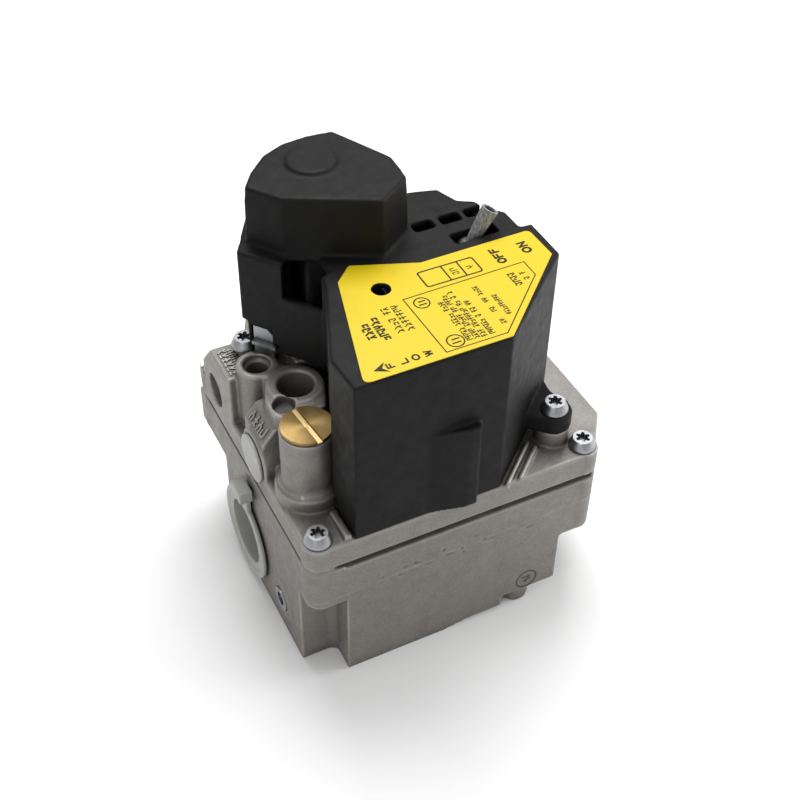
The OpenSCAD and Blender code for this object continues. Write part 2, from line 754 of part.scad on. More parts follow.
module redundant_frame() {
    at_seam() color([0.72, 0.73, 0.74]) solenoid_frame(redundant_at, platform_top, redundant_h);
}
module redundant_bobbin() {
    at_seam() color([0.88, 0.87, 0.83]) solenoid_bobbin(redundant_at, platform_top, redundant_h);
}
module redundant_winding() {
    at_seam() color([0.62, 0.32, 0.16]) solenoid_winding(redundant_at, platform_top, redundant_h);
}
module redundant_tube() {
    at_seam() color([0.74, 0.74, 0.75]) solenoid_tube(redundant_at, platform_top, redundant_h);
}
module redundant_core() {
    at_seam() color([0.66, 0.67, 0.69]) solenoid_core(redundant_at, platform_top, redundant_h);
}
module redundant_plunger() {
    at_seam() color([0.66, 0.67, 0.69])
        solenoid_plunger(redundant_at, platform_top, redundant_h, redundant_lift + 0.3, seat_z + 2.4);
}
module redundant_spring() {
    at_seam() color([0.66, 0.67, 0.69])
        solenoid_spring(redundant_at, platform_top, redundant_h, redundant_lift + 0.3);
}
module redundant_valve_disc() {
    at_seam() color([0.10, 0.10, 0.10]) difference() {
        union() {
            post(redundant_at, seat_z, seat_z + 2.4, 10.6);
            ring(redundant_at, seat_z + 2.3, seat_z + 4.2, 4.4, 2.45);
        }
        post(redundant_at, seat_z - 1, seat_z + 0.8, 5);
    }
}

module servo_frame() {
    at_seam() color([0.72, 0.73, 0.74]) solenoid_frame(servo_at, servo_base, servo_h);
}
module servo_bobbin() {
    at_seam() color([0.88, 0.87, 0.83]) solenoid_bobbin(servo_at, servo_base, servo_h);
}
module servo_winding() {
    at_seam() color([0.62, 0.32, 0.16]) solenoid_winding(servo_at, servo_base, servo_h);
}
module servo_tube() {
    at_seam() color([0.74, 0.74, 0.75]) solenoid_tube(servo_at, servo_base, servo_h);
}
module servo_core() {
    at_seam() color([0.66, 0.67, 0.69]) solenoid_core(servo_at, servo_base, servo_h);
}
module servo_plunger() {
    at_seam() color([0.66, 0.67, 0.69])
        solenoid_plunger(servo_at, servo_base, servo_h, servo_lift + 0.3, 4.8);
}
module servo_spring() {
    at_seam() color([0.66, 0.67, 0.69])
        solenoid_spring(servo_at, servo_base, servo_h, servo_lift + 0.3);
}

// O-rings under the flanges of the two guide tubes
module tube_orings() {
    at_seam() color([0.08, 0.08, 0.08])
        for (q = [[redundant_at, platform_top], [servo_at, servo_base]])
            translate([q[0].x, q[0].y, q[1] - 1.9])
                rotate_extrude() translate([7.1, 0]) circle(r = 0.68, $fn = 24);
}

// ---------- main valve ----------

module main_diaphragm() {
    at_seam() color([0.10, 0.10, 0.10]) difference() {
        union() {
            ring(main_at, lower_z, upper_z, diaphragm_r, main_chamber_r - 0.6);
            post(main_at, -0.4, 0.4, main_chamber_r);
        }
        post(main_at, -2, 2, 2.02);
    }
}

module diaphragm_plate() {
    at_seam() color([0.72, 0.73, 0.74]) ring(main_at, 0.4, 1.3, 14, 2.02);
}

module main_valve_stem() {
    at_seam() color([0.74, 0.74, 0.75]) {
        post(main_at, -26, 2.5, 2);
        translate([main_at.x, main_at.y, 1.3]) cylinder(h = 1, r = 3.6, $fn = 6);
        ring(main_at, -1.3, -0.4, 12, 1.9);
        ring(main_at, main_seat_z + 2.8, main_seat_z + 3.8, 8, 1.9);
    }
}

module main_valve_disc() {
    at_seam() color([0.10, 0.10, 0.10])
        ring(main_at, main_seat_z, main_seat_z + 2.8, 11.4, 2.02);
}

module main_valve_spring() {
    at_seam() color([0.66, 0.67, 0.69]) translate([main_at.x, main_at.y, 1.3])
        coil(11, 6.5, 0.4, dome_top - 1.3, 3);
}

// ---------- screen and plugs ----------

module inlet_screen() {
    x0 = body_l - port_thread_l - 2.6;
    hole_r = 0.9;
    step = 2.6;
    at_seam() color([0.74, 0.74, 0.75]) difference() {
        bar_x(x0 + 1, x0 + 2, port_y, port_z, port_r - 1.3);
        for (i = [-3 : 3]) for (j = [-3 : 3])
            if (i * i + j * j < 11)
                bar_x(x0, x0 + 3, port_y + i * step, port_z + j * step, hole_r);
    }
}

module outlet_port_plug() {
    flange_r = 17;
    at_seam() color([0.80, 0.80, 0.77]) difference() {
        union() {
            bar_x(-1.9, -0.7, port_y, port_z, flange_r);
            bar_x(-1, plug_seat_l - 0.6, port_y, port_z, port_r + 0.55);
            // pull tab: a stem and a thick grip
            translate([-2.3, port_y - 6, port_z + 13]) cube([1.6, 4.4, 12]);
            translate([-5.2, port_y - 8.6, port_z + 23]) cube([4.5, 8.2, 4.6]);
        }
        bar_x(-3, plug_seat_l - 1.8, port_y, port_z, port_r - 0.7);
        // shallow dish in the face
        bar_x(-3, -1.5, port_y, port_z, flange_r - 2.2);
    }
}

module vent_plug() {
    at_seam() color([0.80, 0.80, 0.77]) difference() {
        union() {
            bar_x(-1.1, -0.1, vent_at.x, vent_at.y, 8);
            bar_x(-0.2, 6, vent_at.x, vent_at.y, 6.05);
        }
        bar_x(0.4, 7, vent_at.x, vent_at.y, 5);
    }
}

module outlet_tap_plug() {
    at_seam() color([0.70, 0.70, 0.71]) difference() {
        bar_x(-1, 7, tap_at.x, tap_at.y, tap_r - 0.1);
        translate([-2, tap_at.x, tap_at.y]) rotate([0, 90, 0]) cylinder(h = 5, r = 2.75, $fn = 6);
    }
}

lower_body();
upper_body();
body_gasket();
body_screws();
plastic_cover();
cover_label();
cover_screw();
rear_bracket();
bracket_screw();
regulator_cap();
cap_oring();
regulator_adjust_screw();
spring_button();
regulator_spring();
regulator_plate();
regulator_diaphragm();
regulator_ring();
regulator_nozzle();
toggle_lever();
toggle_pin();
switch_housing();
switch_contact();
terminal_tabs();
terminal_block();
lead_wires();
redundant_frame();
redundant_bobbin();
redundant_winding();
redundant_tube();
redundant_core();
redundant_plunger();
redundant_spring();
redundant_valve_disc();
servo_frame();
servo_bobbin();
servo_winding();
servo_tube();
servo_core();
servo_plunger();
servo_spring();
main_diaphragm();
diaphragm_plate();
main_valve_stem();
main_valve_disc();
main_valve_spring();
inlet_screen();
outlet_port_plug();
vent_plug();
outlet_tap_plug();
tube_orings();
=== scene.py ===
"""Looks for the gas valve: softened castings and cover, printed label, and procedural finishes."""

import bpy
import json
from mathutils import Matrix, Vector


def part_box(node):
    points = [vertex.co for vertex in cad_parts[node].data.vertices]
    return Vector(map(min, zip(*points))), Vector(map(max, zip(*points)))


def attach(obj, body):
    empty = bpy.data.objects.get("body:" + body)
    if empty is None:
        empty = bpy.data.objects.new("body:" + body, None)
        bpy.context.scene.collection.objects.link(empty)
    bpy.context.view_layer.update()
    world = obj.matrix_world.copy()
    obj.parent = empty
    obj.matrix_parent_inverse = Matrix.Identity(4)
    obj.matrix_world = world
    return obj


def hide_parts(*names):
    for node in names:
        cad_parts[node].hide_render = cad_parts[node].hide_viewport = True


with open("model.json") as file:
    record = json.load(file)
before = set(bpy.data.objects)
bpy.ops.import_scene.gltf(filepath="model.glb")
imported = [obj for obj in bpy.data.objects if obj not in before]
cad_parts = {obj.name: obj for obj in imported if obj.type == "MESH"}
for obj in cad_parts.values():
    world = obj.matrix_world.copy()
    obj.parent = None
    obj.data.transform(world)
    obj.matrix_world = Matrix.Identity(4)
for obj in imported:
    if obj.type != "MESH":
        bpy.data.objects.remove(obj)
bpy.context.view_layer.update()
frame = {"nodes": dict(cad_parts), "record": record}

import json
import math
import random

import bmesh
import bpy
import numpy as np
from mathutils import Matrix, Vector

MM = 0.001
MAIN = "valve_body"
NODES = frame["nodes"]
scene = bpy.context.scene
rng = random.Random(7)

# The castings' corner frame of the CAD source: corner at the seam, in mm
BODY_HALF_L = 55.0
PORT_Y = 54.0
SEAM_Z = 52.4
DECK_Z = (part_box("cover_label")[0].z / MM) - SEAM_Z
TOWER_RISE = 19.6        # the tower's top above the deck
TOWER_Z = DECK_Z + TOWER_RISE


def P(x, y, z):
    """Castings' corner frame in mm to the row frame in metres."""
    return Vector(((x - BODY_HALF_L) * MM, (y - PORT_Y) * MM, (z + SEAM_Z) * MM))


# ---------------------------------------------------------------- materials

class Nodes:
    """A short way to write a node tree."""

    def __init__(self, name):
        self.mat = bpy.data.materials.new(name)
        self.mat.use_nodes = True
        self.tree = self.mat.node_tree
        self.tree.nodes.clear()
        self.out = self.new("ShaderNodeOutputMaterial")
        self.bsdf = self.new("ShaderNodeBsdfPrincipled")
        self.link(self.bsdf.outputs[0], self.out.inputs[0])
        self.coord = self.new("ShaderNodeTexCoord").outputs["Object"]

    def new(self, kind, **settings):
        node = self.tree.nodes.new(kind)
        for key, value in settings.items():
            setattr(node, key, value)
        return node

    def link(self, a, b):
        self.tree.links.new(a, b)

    def put(self, socket, value):
        """Links a socket, or sets its value."""
        if isinstance(value, bpy.types.NodeSocket):
            self.link(value, socket)
        else:
            if isinstance(value, tuple) and len(value) == 3 and socket.type == "RGBA":
                value = (*value, 1)
            socket.default_value = value

    def set(self, **values):
        for key, value in values.items():
            self.put(self.bsdf.inputs[key.replace("_", " ")], value)

    def noise(self, scale, detail=3.0, rough=0.55, stretch=None):
        """Noise with features of about 1/scale metres."""
        node = self.new("ShaderNodeTexNoise")
        source = self.coord
        if stretch:
            mapping = self.new("ShaderNodeMapping")
            mapping.inputs["Scale"].default_value = stretch
            self.link(source, mapping.inputs[0])
            source = mapping.outputs[0]
        self.link(source, node.inputs["Vector"])
        node.inputs["Scale"].default_value = scale
        node.inputs["Detail"].default_value = detail
        node.inputs["Roughness"].default_value = rough
        return node.outputs["Fac"]

    def ramp(self, fac, low, high, a=0.0, b=1.0):
        """Maps fac from low..high to a..b, clamped."""
        node = self.new("ShaderNodeMapRange", clamp=True)
        self.link(fac, node.inputs["Value"])
        for key, value in zip(("From Min", "From Max", "To Min", "To Max"), (low, high, a, b)):
            node.inputs[key].default_value = value
        return node.outputs["Result"]

    def mix(self, fac, a, b):
        node = self.new("ShaderNodeMix", data_type="RGBA")
        self.put(node.inputs[0], fac)
        self.put(node.inputs[6], a)
        self.put(node.inputs[7], b)
        return node.outputs[2]

    def math(self, op, a, b=0.0):
        node = self.new("ShaderNodeMath", operation=op)
        self.put(node.inputs[0], a)
        self.put(node.inputs[1], b)
        return node.outputs[0]

    def bump(self, *layers):
        """Bump layers of (height, distance in mm)."""
        normal = None
        for height, depth in layers:
            node = self.new("ShaderNodeBump")
            node.inputs["Strength"].default_value = 1.0
            node.inputs["Distance"].default_value = depth * MM
            self.link(height, node.inputs["Height"])
            if normal is not None:
                self.link(normal, node.inputs["Normal"])
            normal = node.outputs[0]
        self.link(normal, self.bsdf.inputs["Normal"])

    def edges(self, low, high):
        """Convex edges, from the mesh's pointiness."""
        return self.ramp(self.new("ShaderNodeNewGeometry").outputs["Pointiness"], low, high)

    def cavity(self, reach, low=0.35, high=0.95):
        """How enclosed a point is: 1 in corners and recesses narrower than reach mm, 0 on open faces."""
        node = self.new("ShaderNodeAmbientOcclusion", samples=8)
        node.inputs["Distance"].default_value = reach * MM
        return self.ramp(node.outputs["AO"], low, high, 1.0, 0.0)


def tone(color, k):
    return tuple(min(1.0, c * k) for c in color)


def cast_metal(name, color, rough=0.5):
    """Tumbled die casting: mottled grey, a fine sandy skin, brighter convex edges that are part worn
    metal and part painted highlight, and painted shade in its corners and recesses.
    """
    n = Nodes(name)
    mottled = n.mix(n.ramp(n.noise(140, 5, 0.62), 0.3, 0.7), tone(color, 0.80), tone(color, 1.12))
    grain = n.mix(n.ramp(n.noise(2600, 4, 0.7), 0.35, 0.65), tone(color, 0.62), tone(color, 1.32))
    base = n.mix(0.5, mottled, grain)
    specks = n.ramp(n.noise(1100, 2, 0.5), 0.70, 0.76)
    base = n.mix(n.math("MULTIPLY", specks, 0.5), base, tone(color, 0.35))
    # Brighter convex edges: part worn metal, part painted highlight on rims and chamfers.
    base = n.mix(n.math("MULTIPLY", n.edges(0.503, 0.55), 0.75), base, tone(color, 1.9))
    # Painted shade: darker in concave corners and creases.
    base = n.mix(n.math("MULTIPLY", n.edges(0.495, 0.44), 0.6), base, tone(color, 0.5))
    # Painted shade: darker in recesses by ambient occlusion, broken up by noise.
    painted_recess_shade = n.math("MULTIPLY", n.cavity(5), n.ramp(n.noise(220, 4), 0.3, 0.7, 0.45, 0.85))
    base = n.mix(painted_recess_shade, base, tone(color, 0.30))
    sheen = n.ramp(n.noise(300, 4), 0.3, 0.7, rough - 0.08, rough + 0.10)
    n.set(Base_Color=base, Metallic=0.6, Roughness=sheen)
    n.bump((n.noise(420, 3, 0.5), 0.10), (n.noise(2600, 3, 0.7), 0.045))
    return n.mat


def moulded(name, color, rough=0.5, grain=0.03, edge=1.8):
    """Spark-textured moulding, greyer where edges have rubbed."""
    n = Nodes(name)
    base = n.mix(n.ramp(n.noise(90, 4), 0.3, 0.7), tone(color, 0.88), tone(color, 1.14))
    base = n.mix(n.math("MULTIPLY", n.edges(0.51, 0.58), 0.45), base, tone(color, edge))
    dust = n.ramp(n.noise(700, 3, 0.6), 0.60, 0.80)
    base = n.mix(n.math("MULTIPLY", dust, 0.12), base, tone(color, 2.4))
    n.set(Base_Color=base, Roughness=n.ramp(n.noise(240, 4), 0.3, 0.7, rough - 0.06, rough + 0.08))
    n.bsdf.inputs["Specular IOR Level"].default_value = 0.17
    n.bump((n.noise(5200, 2, 0.6), grain), (n.noise(160, 2), 0.05))
    return n.mat


def plated(name, color, rough=0.24, scratch=0.012):
    """Bright plated or turned metal with fine scratches, and painted shade in its recesses."""
    n = Nodes(name)
    base = n.mix(n.ramp(n.noise(500, 4), 0.35, 0.7), tone(color, 0.86), tone(color, 1.05))
    # Painted shade: much darker in recesses narrower than 1.6 mm, by ambient occlusion.
    base = n.mix(n.math("MULTIPLY", n.cavity(1.6, 0.2, 0.9), 0.8), base, tone(color, 0.16))
    fine = n.noise(1500, 3, 0.6, stretch=(6, 6, 0.6))
    n.set(Base_Color=base, Metallic=1.0, Roughness=n.ramp(fine, 0.3, 0.75, rough - 0.06, rough + 0.12))
    n.bump((fine, scratch))
    return n.mat


def drawn(name, color):
    """Drawn tube, satin grey with streaks along its length, and painted shade in its recesses."""
    n = Nodes(name)
    streak = n.noise(900, 3, 0.6, stretch=(2.2, 2.2, 0.25))
    base = n.mix(n.ramp(streak, 0.35, 0.68), tone(color, 0.45), tone(color, 1.35))
    # Painted shade: almost black in recesses narrower than 4 mm, by ambient occlusion.
    base = n.mix(n.math("MULTIPLY", n.cavity(4, 0.3, 0.9), 0.95), base, tone(color, 0.05))
    n.set(Base_Color=base, Metallic=0.0, Roughness=n.ramp(streak, 0.3, 0.7, 0.42, 0.58))
    n.bump((streak, 0.02))
    return n.mat


def soft(name, color, rough=0.6):
    """Rubber, fibre or moulded nylon with a fine skin."""
    n = Nodes(name)
    base = n.mix(n.ramp(n.noise(600, 4), 0.3, 0.7), tone(color, 0.8), tone(color, 1.2))
    n.set(Base_Color=base, Roughness=rough)
    n.bump((n.noise(3000, 3, 0.6), 0.03))
    return n.mat


CAP_FAN = 40             # turn of the cap's sheen, in degrees
CAP_SLOT = -84           # heading of the cap's driver slot, in degrees


def brass_cap(name, color):
    """Turned brass: fine rings, a fan-shaped painted sheen, and a painted highlight along the driver
    slot.
    """
    n = Nodes(name)
    low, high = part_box("regulator_cap")
    mid = (low + high) / 2
    ring_pitch, slot_half, slot_edge = 0.28, 0.75, 0.95        # mm
    shift = n.new("ShaderNodeVectorMath", operation="SUBTRACT")
    n.link(n.coord, shift.inputs[0])
    shift.inputs[1].default_value = mid
    flat = n.new("ShaderNodeVectorMath", operation="MULTIPLY")
    n.link(shift.outputs[0], flat.inputs[0])
    flat.inputs[1].default_value = (1, 1, 0)
    length = n.new("ShaderNodeVectorMath", operation="LENGTH")
    n.link(flat.outputs[0], length.inputs[0])
    per_metre = 2 * math.pi / (ring_pitch * MM)
    rings = n.math("SINE", n.math("MULTIPLY", length.outputs["Value"], per_metre))
    parts = n.new("ShaderNodeSeparateXYZ")
    n.link(flat.outputs[0], parts.inputs[0])
    angle = n.math("ARCTAN2", parts.outputs[1], parts.outputs[0])
    fan = n.math("SINE", n.math("ADD", n.math("MULTIPLY", angle, 2.0), math.radians(CAP_FAN)))
    tarnish = n.ramp(n.noise(320, 5, 0.6), 0.35, 0.75)
    base = n.mix(tarnish, color, tone(color, 0.80))
    # Painted sheen: light and dark sectors that turn twice round the cap.
    base = n.mix(n.ramp(fan, -0.7, 0.7), tone(color, 0.36), base)
    base = n.mix(n.math("MULTIPLY", n.ramp(n.noise(900, 2), 0.68, 0.76), 0.35), base, tone(color, 0.35))
    heading = math.radians(CAP_SLOT)
    across = n.math("SUBTRACT", n.math("MULTIPLY", parts.outputs[0], math.sin(heading)),
                    n.math("MULTIPLY", parts.outputs[1], math.cos(heading)))
    slot_highlight = n.ramp(n.math("ABSOLUTE", across), slot_half * MM, slot_edge * MM, 1.0, 0.0)
    # Painted highlight: a bright band along the driver slot, over the slot's real groove.
    base = n.mix(slot_highlight, base, (0.62, 0.44, 0.20))
    n.set(Base_Color=base, Metallic=1.0, Roughness=n.ramp(n.noise(500, 4), 0.3, 0.7, 0.30, 0.40))
    n.bsdf.inputs["Anisotropic"].default_value = 0.75
    tangent = n.new("ShaderNodeTangent", direction_type="RADIAL", axis="Z")
    n.link(tangent.outputs[0], n.bsdf.inputs["Tangent"])
    n.bump((rings, 0.004))
    return n.mat


def milky(name, color):
    """Natural polyethylene: cloudy, waxy and slightly see-through."""
    n = Nodes(name)
    base = n.mix(n.ramp(n.noise(120, 3), 0.3, 0.7), tone(color, 0.90), tone(color, 1.05))
    n.set(Base_Color=base, Roughness=n.ramp(n.noise(400, 3), 0.3, 0.7, 0.36, 0.50))
    n.bsdf.inputs["Subsurface Weight"].default_value = 0.5
    n.bsdf.inputs["Subsurface Radius"].default_value = (0.0022, 0.0022, 0.002)
    n.bsdf.inputs["Transmission Weight"].default_value = 0.30
    n.bump((n.noise(500, 3), 0.03))
    return n.mat


def label_film(name, color):
    """Yellow vinyl: warmer towards the hole's corner, with a slight orange peel."""
    n = Nodes(name)
    low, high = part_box("cover_label")
    split = n.new("ShaderNodeSeparateXYZ")
    n.link(n.coord, split.inputs[0])
    fade = n.math("SUBTRACT", split.outputs[1], split.outputs[0])
    warm = n.ramp(fade, (low.y - low.x) * 0.2, high.y - low.x - 0.012)
    warm = n.math("MULTIPLY", warm, n.ramp(n.noise(60, 2), 0.3, 0.7, 0.7, 1.0))
    base = n.mix(warm, color, (0.48, 0.370, 0.0004))
    base = n.mix(n.math("MULTIPLY", n.ramp(n.noise(260, 4), 0.4, 0.8), 0.18), base, tone(color, 0.82))
    n.set(Base_Color=base, Roughness=n.ramp(n.noise(500, 3), 0.3, 0.7, 0.36, 0.48))
    n.bsdf.inputs["Specular IOR Level"].default_value = 0.25
    n.bump((n.noise(700, 2), 0.02))
    return n.mat


def stamped(name, color):
    """Painted shadow of a stamped mark: a dark colour where its edges shade."""
    n = Nodes(name)
    n.set(Base_Color=n.mix(n.ramp(n.noise(900, 3), 0.35, 0.65), color, tone(color, 1.8)), Roughness=0.7)
    n.bump((n.noise(1500, 3), 0.03))
    return n.mat


def ink(name):
    n = Nodes(name)
    base = n.mix(n.ramp(n.noise(1800, 3), 0.35, 0.7), (0.014, 0.012, 0.004), (0.036, 0.030, 0.006))
    n.set(Base_Color=base, Roughness=0.6)
    n.bsdf.inputs["Specular IOR Level"].default_value = 0.2
    n.bump((n.noise(2500, 2), 0.004))
    return n.mat


def pale_floor(name):
    n = Nodes(name)
    base = n.mix(n.ramp(n.noise(6, 2), 0.3, 0.7), (0.86, 0.86, 0.86), (0.90, 0.90, 0.90))
    n.set(Base_Color=base, Roughness=0.75)
    n.bsdf.inputs["Specular IOR Level"].default_value = 0.2
    return n.mat


LOOKS = {
    "cast": cast_metal("cast_lower", (0.212, 0.199, 0.182)),
    "cast_upper": cast_metal("cast_upper", (0.235, 0.224, 0.207)),
    "black_plastic": moulded("cover_black", (0.0046, 0.0045, 0.0043), 0.56),
    "dark_plastic": moulded("switch_black", (0.008, 0.008, 0.008), 0.45, 0.015),
    "label": label_film("label_film", (0.62, 0.46, 0.008)),
    "rubber": soft("rubber", (0.022, 0.022, 0.022), 0.62),
    "fibre": soft("gasket_fibre", (0.030, 0.026, 0.022), 0.8),
    "zinc_steel": plated("zinc", (0.36, 0.37, 0.385), 0.34),
    "black_steel": moulded("frame_black", (0.010, 0.010, 0.010), 0.40, 0.01),
    "tape": soft("winding_tape", (0.008, 0.008, 0.008), 0.45),
    "steel": plated("steel", (0.30, 0.30, 0.31), 0.4),
    "stainless": plated("stainless", (0.34, 0.34, 0.345), 0.4),
    "lever_metal": drawn("lever_nickel", (0.24, 0.24, 0.25)),
    "brass": plated("brass", (0.66, 0.47, 0.18), 0.28),
    "natural_plastic": milky("natural_pe", (0.46, 0.467, 0.44)),
    "wire_red": soft("wire_insulation", (0.45, 0.04, 0.03), 0.35),
}
SLOTS = {s["node"]: s["material_slot"] for s in frame["record"]["subparts"]}
BRASS_CAP = brass_cap("cap_brass", (0.33, 0.225, 0.088))
INK = ink("label_ink")


def dress(ob, look):
    ob.data.materials.clear()
    ob.data.materials.append(look)


for node_name, ob in NODES.items():
    dress(ob, LOOKS[SLOTS[node_name]])
dress(NODES["regulator_cap"], BRASS_CAP)


# ---------------------------------------------------------------- mesh helpers

def add(name, mesh, look, body=MAIN):
    ob = bpy.data.objects.new(name, mesh)
    scene.collection.objects.link(ob)
    dress(ob, look)
    if body:
        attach(ob, body)
    return ob


def evaluated(ob):
    """Replaces the object's mesh with what its modifiers make of it."""
    graph = bpy.context.evaluated_depsgraph_get()
    graph.update()
    mesh = bpy.data.meshes.new_from_object(ob.evaluated_get(graph))
    ob.modifiers.clear()
    ob.data = mesh


def welded(node):
    """A copy of a CAD node's mesh with its seams joined."""
    mesh = NODES[node].data.copy()
    bm = bmesh.new()
    bm.from_mesh(mesh)
    bmesh.ops.remove_doubles(bm, verts=bm.verts, dist=2e-6)
    bm.to_mesh(mesh)
    bm.free()
    return mesh


def relax(mesh, rounds_at, strength=0.5):
    """Rounds edges: each vertex moves towards its neighbours for as many rounds as rounds_at gives it."""
    count = len(mesh.vertices)
    co = np.empty(count * 3)
    mesh.vertices.foreach_get("co", co)
    co = co.reshape(-1, 3)
    ends = np.empty(len(mesh.edges) * 2, np.int64)
    mesh.edges.foreach_get("vertices", ends)
    a, b = ends.reshape(-1, 2).T
    degree = np.maximum(np.bincount(a, minlength=count) + np.bincount(b, minlength=count), 1)
    rounds = rounds_at(to_cad(co))
    for k in range(int(math.ceil(rounds.max()))):
        share = np.clip(rounds - k, 0, 1) * strength
        mean = np.stack([
            np.bincount(a, co[b, i], count) + np.bincount(b, co[a, i], count) for i in range(3)
        ], 1) / degree[:, None]
        co += (mean - co) * share[:, None]
    mesh.vertices.foreach_set("co", co.ravel())
    mesh.update()
    return co


def to_cad(co):
    """Row frame in metres to the castings' corner frame in mm."""
    return co / MM + np.array([BODY_HALF_L, PORT_Y, -SEAM_Z])


def softened(node, name, voxel, rounds_at, look, keep=1.0, shape=None, body=MAIN):
    """A piece that stands for a CAD node, with the rounded edges of a real casting or moulding."""
    ob = add(name, welded(node), look, None)
    ob.modifiers.new("remesh", "REMESH").mode = "VOXEL"
    ob.modifiers["remesh"].voxel_size = voxel * MM
    evaluated(ob)
    relax(ob.data, rounds_at)
    if shape:
        shape(ob.data)
    if keep < 1:
        ob.modifiers.new("thin", "DECIMATE").ratio = keep
        evaluated(ob)
    ob.data.shade_smooth()
    dress(ob, look)
    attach(ob, body)
    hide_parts(node)
    return ob


def sdf_polygon(points, xy):
    """Signed distance in mm to a polygon, negative inside."""
    pts = np.array(points, float)
    best = np.full(len(xy), 1e9)
    inside = np.zeros(len(xy), bool)
    for p, q in zip(pts, np.roll(pts, -1, 0)):
        edge = q - p
        t = np.clip(((xy - p) @ edge) / (edge @ edge), 0, 1)
        best = np.minimum(best, np.linalg.norm(xy - p - t[:, None] * edge, axis=1))
        crosses = (p[1] > xy[:, 1]) != (q[1] > xy[:, 1])
        with np.errstate(divide="ignore", invalid="ignore"):
            at = p[0] + (xy[:, 1] - p[1]) * edge[0] / edge[1]
        inside ^= crosses & (xy[:, 0] < at)
    return np.where(inside, -best, best)


# ---------------------------------------------------------------- castings and cover

# Machined rims in the top and left faces, which stay crisp: (axis, centre, radius)
RIMS = [
    ("z", (10, 62.2), 4.4), ("z", (17.4, 48.5), 6.2), ("z", (10.6, 41.8), 3.5), ("z", (11.2, 25.2), 8),
    ("x", (77.2, 12), 6), ("x", (25, -37.5), 4.3), ("x", (43, 12), 6.2),
]


def casting_rounds(cad):
    """Well-rounded cast edges, crisper machined rims, and a fuller fillet at the regulator's foot."""
    rounds = np.full(len(cad), 4.5)
    for axis, (a, b), r in RIMS:
        if axis == "z":
            off, deep = np.hypot(cad[:, 0] - a, cad[:, 1] - b), cad[:, 2] < 20
        else:
            off, deep = np.hypot(cad[:, 1] - a, cad[:, 2] - b), cad[:, 0] > 6
        rounds[(off < r + 1.4) & ~deep] = 1.6
    foot = (np.hypot(cad[:, 0] - 11.2, cad[:, 1] - 25.2) < 13) & (cad[:, 2] > 8) & (cad[:, 2] < 18)
    rounds[foot] = 7
    return rounds


def move_along_normal(mesh, amount_at):
    """Moves each vertex along its normal by amount_at(cad positions, normals), in mm."""
    count = len(mesh.vertices)
    co, nor = np.empty(count * 3), np.empty(count * 3)
    mesh.vertices.foreach_get("co", co)
    mesh.vertex_normals.foreach_get("vector", nor)
    co, nor = co.reshape(-1, 3), nor.reshape(-1, 3)
    co = co + nor * (amount_at(to_cad(co), nor) * MM)[:, None]
    mesh.vertices.foreach_set("co", co.ravel())
    mesh.update()


def lower_marks(mesh):
    """Flow pits and a faint parting line across the front of the lower casting."""
    pits = [
        (rng.uniform(22, 78), rng.uniform(-15, -9), rng.uniform(0.4, 1.5), rng.uniform(0.4, 0.8))
        for _ in range(14)
    ]

    def amount(cad, nor):
        front = np.clip(-nor[:, 1] * 1.5 - 0.5, 0, 1) * (cad[:, 1] < 8)
        total = np.zeros(len(cad))
        for x, z, length, depth in pits:
            d = ((cad[:, 0] - x) / length) ** 2 + ((cad[:, 2] - z) / 0.45) ** 2
            total -= depth * np.exp(-d)
        line = -13.5 + 0.035 * (cad[:, 0] - 20)
        total += 0.14 * np.exp(-((cad[:, 2] - line) / 0.5) ** 2)
        return total * front

    move_along_normal(mesh, amount)


softened("lower_body", "lower_casting", 0.5, casting_rounds, LOOKS["cast"], 0.5, lower_marks)
softened("upper_body", "upper_casting", 0.42, casting_rounds, LOOKS["cast_upper"], 0.5)

TOWER = [
    (21.5, 63.2), (47.7, 49.7), (59.7, 58.2), (60.4, 69.7), (50.1, 90.6), (41.5, 91.4),
    (33, 90.4), (25.4, 86.8), (18.6, 79.8), (14.2, 73.3),
]
DISC_AT = (37.2, 77)


def cover_rounds(cad):
    """Rounds most edges, more round the tower's top and foot, and hardly at all at the deck's slots."""
    rounds = np.full(len(cad), 4.0)
    edge = np.abs(sdf_polygon(TOWER, cad[:, :2]))
    top = (cad[:, 2] > TOWER_Z - 3.2) & (edge < 3.4)
    foot = (np.abs(cad[:, 2] - DECK_Z) < 2.6) & (edge < 3.0)
    disc = (cad[:, 2] > TOWER_Z - 1) & (np.hypot(cad[:, 0] - DISC_AT[0], cad[:, 1] - DISC_AT[1]) < 10.5)
    rounds[top] = 14
    rounds[foot] = 16
    rounds[disc] = 14
    slots = (cad[:, 0] > 60.5) & (cad[:, 0] < 88) & (cad[:, 1] > 44.6) & (cad[:, 1] < 61.6)
    rounds[slots & (cad[:, 2] > DECK_Z - 4)] = 0.6
    window = (cad[:, 0] < 20) & (cad[:, 1] > 57) & (cad[:, 2] > 32) & (cad[:, 2] < 46)
    rounds[window] = 2.5
    return rounds


softened("plastic_cover", "moulded_cover", 0.45, cover_rounds, LOOKS["black_plastic"], 0.6)


# ---------------------------------------------------------------- label

def rounded(points, radius, steps=6):
    """A polygon's outline with rounded corners."""
    pts = [Vector(p) for p in points]
    out = []
    for i, p in enumerate(pts):
        before, after = pts[i - 1], pts[(i + 1) % len(pts)]
        r = radius[i] if isinstance(radius, (list, tuple)) else radius
        u, v = (before - p).normalized(), (after - p).normalized()
        half = math.acos(max(-1, min(1, u.dot(v)))) / 2
        cut = min(r / math.tan(half), (before - p).length * 0.45, (after - p).length * 0.45)
        start, end = p + u * cut, p + v * cut
        for k in range(steps + 1):
            t = k / steps
            out.append((start.lerp(p, t)).lerp(p.lerp(end, t), t))
    return out


